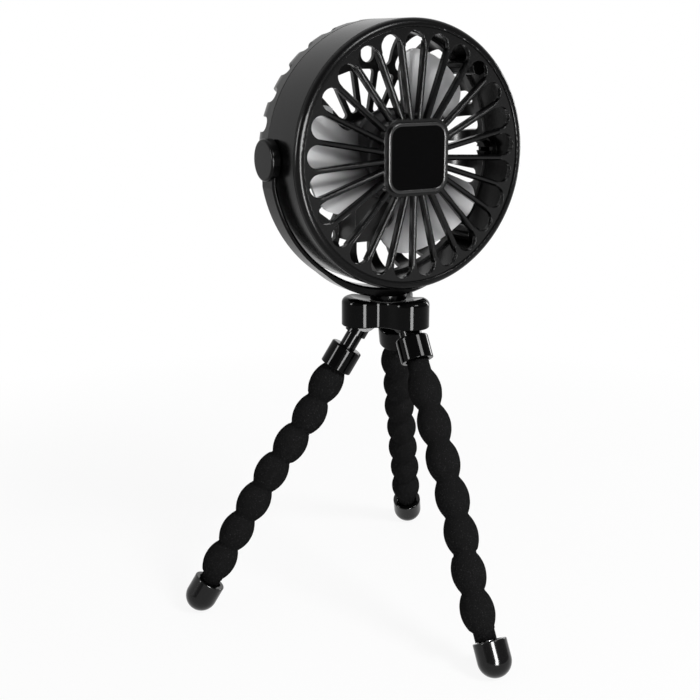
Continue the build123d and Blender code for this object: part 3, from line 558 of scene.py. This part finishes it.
@dataclass
class SpongeSleeve:
    """The beaded sleeve of a leg, drawn down the leg from its hinge pin.

    The beads sit a little to one side or the other of the wire, and the sleeve has slid along it.
    """

    sideways: tuple[float, ...]
    tail_sideways: float
    slip: float
    tail_end: float
    top: float = 16.8 * MM
    first_bead: float = 24.3 * MM
    bead_pitch: float = 15.7 * MM
    bead_radius: float = 7.15 * MM
    neck_radius: float = 4.7 * MM
    tail_radius: float = 4.5 * MM
    neck_blend: float = 0.4 * MM
    neck_softness: float = 1 / 3
    sides: int = 64
    steps: int = 20
    lump: float = 0.12 * MM
    lump_size: float = 2.4 * MM

    def bead_height(self, across: float) -> float:
        """Radius of a bead at a distance from its middle.

        Args:
            across: the distance, in metres.

        Returns:
            The radius, from the arc through both necks and the bead's crown.
        """
        half = self.bead_pitch / 2
        rise = self.bead_radius - self.neck_radius
        arc = (half * half + rise * rise) / (2 * rise)
        height = self.bead_radius - arc + math.sqrt(arc * arc - across * across)
        return math.hypot(height - self.neck_radius, self.neck_blend * self.neck_softness) + self.neck_radius

    def stations(self, side: Vector) -> list[tuple[Vector, float]]:
        """Centres and radii down the sleeve.

        Args:
            side: the way that counts as sideways, in the leg's own frame.

        Returns:
            The stations, from the collar down to the tail's end.
        """

        def centre(down: float, shift: float) -> Vector:
            """The point so far down the leg and so far to the side."""
            return shift * side - Vector((0.0, 0.0, down))

        places = [(centre(self.top, self.sideways[0]), self.neck_radius)]
        before = self.sideways[0]
        down = self.first_bead + self.slip
        for shift in self.sideways:
            places.append((centre(down, (before + shift) / 2), self.bead_height(self.bead_pitch / 2)))
            for step in range(1, self.steps):
                along = self.bead_pitch * step / self.steps
                places.append((centre(down + along, shift), self.bead_height(along - self.bead_pitch / 2)))
            before = shift
            down += self.bead_pitch
        places.append((centre(down, self.tail_sideways), self.bead_height(self.bead_pitch / 2)))
        places.append((centre(down + self.neck_blend, self.tail_sideways), self.tail_radius))
        places.append((centre(self.tail_end, self.tail_sideways), self.tail_radius))
        return places

    def build(self, name: str, side: Vector) -> bpy.types.Object:
        """Models the sleeve about the leg's own axis.

        Args:
            name: the sleeve's name.
            side: the way that counts as sideways, in the leg's own frame.

        Returns:
            The sleeve, still at the origin.
        """
        places = self.stations(side)
        sleeve = Bench.ring(name, places[0][1], self.sides)
        bpy.ops.object.mode_set(mode="EDIT")
        bpy.ops.mesh.select_all(action="SELECT")
        bpy.ops.transform.translate(value=places[0][0])
        bpy.ops.mesh.edge_face_add()
        bpy.ops.mesh.select_all(action="SELECT")
        Bench.draw_out(places)
        bpy.ops.mesh.select_all(action="SELECT")
        bpy.ops.mesh.normals_make_consistent(inside=False)
        bpy.ops.object.mode_set(mode="OBJECT")
        clouds = bpy.data.textures.new("sponge_lumps", "CLOUDS")
        clouds.noise_scale = self.lump_size
        swell = sleeve.modifiers.new("lumps", "DISPLACE")
        swell.texture = clouds
        swell.strength = self.lump
        swell.mid_level = 0.5
        Bench.pick(sleeve)
        bpy.ops.object.modifier_apply(modifier=swell.name)
        bpy.ops.object.shade_smooth()
        return sleeve


@dataclass
class Leg:
    """One leg: its sponge sleeve in place and its CAD pieces dressed."""

    name: str
    sleeve: SpongeSleeve
    side: Vector = field(default_factory=lambda: Vector((0.86, -0.5, 0.0)))
    bend_reach: float = 15.0 * MM

    def place(self, joints: dict[str, dict]) -> Matrix:
        """The leg's own frame: its hinge pin, with the leg running down -Z.

        Args:
            joints: the frame's joints by name.

        Returns:
            The leg's place.
        """
        pin = Vector(joints[f"leg_{self.name}_fold"]["pos_m"])
        flex = Vector(joints[f"leg_{self.name}_flex"]["pos_m"])
        turn = (pin - flex).to_track_quat("Z", "Y")
        return Matrix.Translation(pin) @ turn.to_matrix().to_4x4()

    def dress_sleeve(self, joints: dict[str, dict]) -> None:
        """Models the sleeve on this leg, puts it in place and hides the CAD foam pieces.

        Args:
            joints: the frame's joints by name.
        """
        place = self.place(joints)
        side = place.to_3x3().inverted() @ self.side
        side.z = 0.0
        sleeve = self.sleeve.build(f"sponge_{self.name}", side.normalized())
        Bench.settle(sleeve, place)
        coat(sleeve, material_of(Finish.SPONGE))
        flex = Vector(joints[f"leg_{self.name}_flex"]["pos_m"])
        down = -(place.to_3x3() @ Vector((0.0, 0.0, 1.0)))
        flex - self.bend_reach * down
        flex + self.bend_reach * down
        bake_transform(sleeve)
        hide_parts(f"foam_upper_{self.name}", f"foam_lower_{self.name}")
        LOG.info("sleeve %s in place", sleeve.name)

    def dress_nodes(self, nodes: dict[str, bpy.types.Object]) -> None:
        """Dresses the leg's CAD nodes.

        Args:
            nodes: the frame's nodes by name.
        """
        dress_nodes(nodes, Finish.KNUCKLE, f"knuckle_{self.name}")
        dress_nodes(nodes, Finish.COLLAR, f"collar_{self.name}")
        dress_nodes(nodes, Finish.FOOT, f"foot_{self.name}")
        dress_nodes(nodes, Finish.STEEL, f"wire_upper_{self.name}", f"wire_lower_{self.name}")


def sleeve_of(*sideways_mm: float, tail_mm: float, slip_mm: float, tail_end_mm: float) -> SpongeSleeve:
    """A sleeve from its bead shifts, in millimetres.

    Args:
        sideways_mm: how far each bead sits to the side.
        tail_mm: how far its tail does.
        slip_mm: how far the sleeve has slid down the wire.
        tail_end_mm: where its tail ends, down the leg from the pin.

    Returns:
        The sleeve.
    """
    beads = tuple(shift * MM for shift in sideways_mm)
    return SpongeSleeve(beads, tail_mm * MM, slip_mm * MM, tail_end_mm * MM)


@dataclass
class Stand:
    """The hub, the yoke and the three legs."""

    legs: tuple[Leg, ...] = (
        Leg(
            "left",
            sleeve_of(0.0, 0.7, 0.0, -1.0, -1.1, -1.0, -0.8, tail_mm=-0.3, slip_mm=0.9, tail_end_mm=143.7),
        ),
        Leg(
            "front",
            sleeve_of(0.0, 0.1, -0.1, -0.1, -0.4, -1.3, -1.7, tail_mm=-1.3, slip_mm=-0.9, tail_end_mm=137.6),
        ),
        Leg(
            "back",
            sleeve_of(0.0, 0.2, -0.2, 0.1, 0.0, 0.2, 0.0, tail_mm=0.0, slip_mm=0.0, tail_end_mm=143.7),
        ),
    )

    def build(self, frame: dict) -> None:
        """Dresses the stand's nodes and models the sleeves.

        Args:
            frame: the loaded frame.
        """
        nodes = frame["nodes"]
        joints = {joint["name"]: joint for joint in frame["joints"]}
        dress_nodes(nodes, Finish.HUB, "tripod_hub", "hub_cap")
        dress_nodes(nodes, Finish.WASHER, "friction_washer")
        dress_nodes(nodes, Finish.STEEL, "hinge_pins", "swivel_bolt")
        dress_nodes(nodes, Finish.BRASS, "thread_insert")
        dress_nodes(nodes, Finish.YOKE, "yoke", "pivot_pin_left", "pivot_pin_right")
        for leg in self.legs:
            leg.dress_sleeve(joints)
            leg.dress_nodes(nodes)


@dataclass
class Head:
    """The housing, the rotor and the battery pod."""

    rotor: MilkyRotor = MilkyRotor()

    def build(self, frame: dict) -> None:
        """Dresses the head's nodes.

        Args:
            frame: the loaded frame.
        """
        nodes = frame["nodes"]
        dress_nodes(nodes, Finish.HOUSING, "front_ring")
        dress_nodes(nodes, Finish.REAR, "rear_cover", "pod_cover")
        dress_nodes(nodes, Finish.GRILLE, "front_grille")
        dress_nodes(nodes, Finish.BORDER, "badge_frame")
        dress_nodes(nodes, Finish.BADGE, "centre_badge")
        spin = next(joint for joint in frame["joints"] if joint["name"] == "rotor_spin")
        coat(nodes["fan_rotor"], self.rotor.material(Vector(spin["pos_m"])))
        dress_nodes(nodes, Finish.STEEL, "motor_shaft", "pod_screws", "housing_screws", "usb_socket")
        dress_nodes(nodes, Finish.MOTOR, "motor_can")
        dress_nodes(nodes, Finish.MOTOR_CAP, "motor_end_cap")
        dress_nodes(nodes, Finish.BATTERY, "battery_cell")
        dress_nodes(nodes, Finish.BOARD, "circuit_board")
        dress_nodes(nodes, Finish.SWITCH, "tact_switch", "switch_plunger")
        dress_nodes(nodes, Finish.BUTTON, "power_button")
        dress_nodes(nodes, Finish.LENS, "indicator_lens")


@dataclass(frozen=True)
class Lamp:
    """A soft box aimed at a point."""

    name: str
    place: tuple[float, float, float]
    width: float
    height: float
    power: float
    glint_only: bool = False

    def build(self, aim: Vector) -> None:
        """Adds the lamp.

        Args:
            aim: the point that it faces.
        """
        light = bpy.data.lights.new(self.name, "AREA")
        light.shape = "RECTANGLE"
        light.size = self.width
        light.size_y = self.height
        light.energy = self.power
        lamp = bpy.data.objects.new(self.name, light)
        bpy.context.scene.collection.objects.link(lamp)
        lamp.location = self.place
        lamp.rotation_mode = "QUATERNION"
        lamp.rotation_quaternion = (aim - Vector(self.place)).to_track_quat("-Z", "Y")
        lamp.visible_diffuse = not self.glint_only


@dataclass
class Studio:
    """White floor, soft light and the camera at the photograph's angle."""

    aim: Vector = field(default_factory=lambda: Vector((-14.36, 8.36, 117.2)) * MM)
    azimuth: float = -30.2
    elevation: float = 14.94
    distance: float = 505.95 * MM
    lens: float = 58.88
    sensor: float = 36.0
    near: float = 10.0 * MM
    floor_side: float = 40.0
    floor_cuts: int = 3
    floor_colour: Colour = (0.95, 0.95, 0.95)
    floor_roughness: float = 0.9
    floor_white: float = 0.9
    shadow_reach: float = 0.12
    white_reach: float = 0.45
    fill: float = 0.35
    backdrop_blend: float = 0.2
    lamps: tuple[Lamp, ...] = (
        Lamp("key_box", (0.21, -0.74, 0.79), 0.3, 0.2, 7.0),
        Lamp("key_glint", (0.21, -0.74, 0.79), 0.3, 0.2, 9.0, glint_only=True),
        Lamp("front_glint", (-0.116, -0.404, 0.15), 0.11, 0.3, 6.0, glint_only=True),
        Lamp("left_glint", (-0.797, 0.07, 0.35), 0.15, 0.32, 6.0, glint_only=True),
        Lamp("right_glint", (0.79, 0.14, 0.25), 0.12, 0.4, 3.0, glint_only=True),
    )

    def build_floor(self) -> None:
        """Adds the floor, whose white keeps a faint shadow about the feet."""
        Bench.clear()
        bpy.ops.mesh.primitive_plane_add(size=self.floor_side)
        floor = bpy.context.active_object
        floor.name = "floor"
        bpy.ops.object.mode_set(mode="EDIT")
        bpy.ops.mesh.subdivide(number_cuts=self.floor_cuts)
        bpy.ops.object.mode_set(mode="OBJECT")
        sheet = ShaderSheet("floor_white")
        sheet.set(Base_Color=self.floor_colour, Roughness=self.floor_roughness)
        glow = sheet.node("ShaderNodeEmission", None, {"Color": WHITE, "Strength": 1.0})
        place = sheet.node("ShaderNodeSeparateXYZ", None, {0: sheet.place()})
        across, along = Value(sheet, place.outputs["X"]), Value(sheet, place.outputs["Y"])
        away = sheet.span(across * across + along * along, self.shadow_reach**2, self.white_reach**2)
        share = sheet.white_share() * (away * (1.0 - self.floor_white) + self.floor_white)
        layers = {0: share, 1: sheet.shader.outputs[0], 2: glow.outputs[0]}
        mix = sheet.node("ShaderNodeMixShader", None, layers)
        sheet.feed(sheet.output.inputs["Surface"], mix.outputs[0])
        floor.data.materials.append(sheet.material)

    def build_world(self) -> None:
        """Sets a white backdrop, dimmer as light than as background, with a dim room in front of it."""
        world = bpy.data.worlds.new("studio")
        bpy.context.scene.world = world
        world.use_nodes = True
        sheet = NodeSheet(world.node_tree)
        strength = sheet.white_share(sheet.behind(self.backdrop_blend)) * (1.0 - self.fill) + self.fill
        sky = sheet.node("ShaderNodeBackground", None, {"Color": WHITE, "Strength": strength})
        sheet.node("ShaderNodeOutputWorld", None, {"Surface": sky.outputs[0]})

    def build_camera(self) -> None:
        """Adds the camera."""
        turn, lift = math.radians(self.azimuth), math.radians(self.elevation)
        back = Vector((math.sin(turn) * math.cos(lift), -math.cos(turn) * math.cos(lift), math.sin(lift)))
        camera = bpy.data.cameras.new("camera")
        camera.lens = self.lens
        camera.sensor_width = self.sensor
        camera.clip_start = self.near
        seat = bpy.data.objects.new("camera", camera)
        bpy.context.scene.collection.objects.link(seat)
        seat.location = self.aim + self.distance * back
        seat.rotation_mode = "QUATERNION"
        seat.rotation_quaternion = (-back).to_track_quat("-Z", "Y")
        bpy.context.scene.camera = seat

    def build(self) -> None:
        """Sets up the whole studio."""
        self.build_floor()
        self.build_world()
        self.build_camera()
        for lamp in self.lamps:
            lamp.build(self.aim)
        bpy.context.scene.view_settings.view_transform = "Standard"


def main() -> None:
    """Builds the stand, the head and the studio."""
    logging.basicConfig(level=logging.INFO, format="%(message)s")
    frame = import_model()
    Stand().build(frame)
    Head().build(frame)
    Studio().build()


if __name__ == "__main__":
    main()
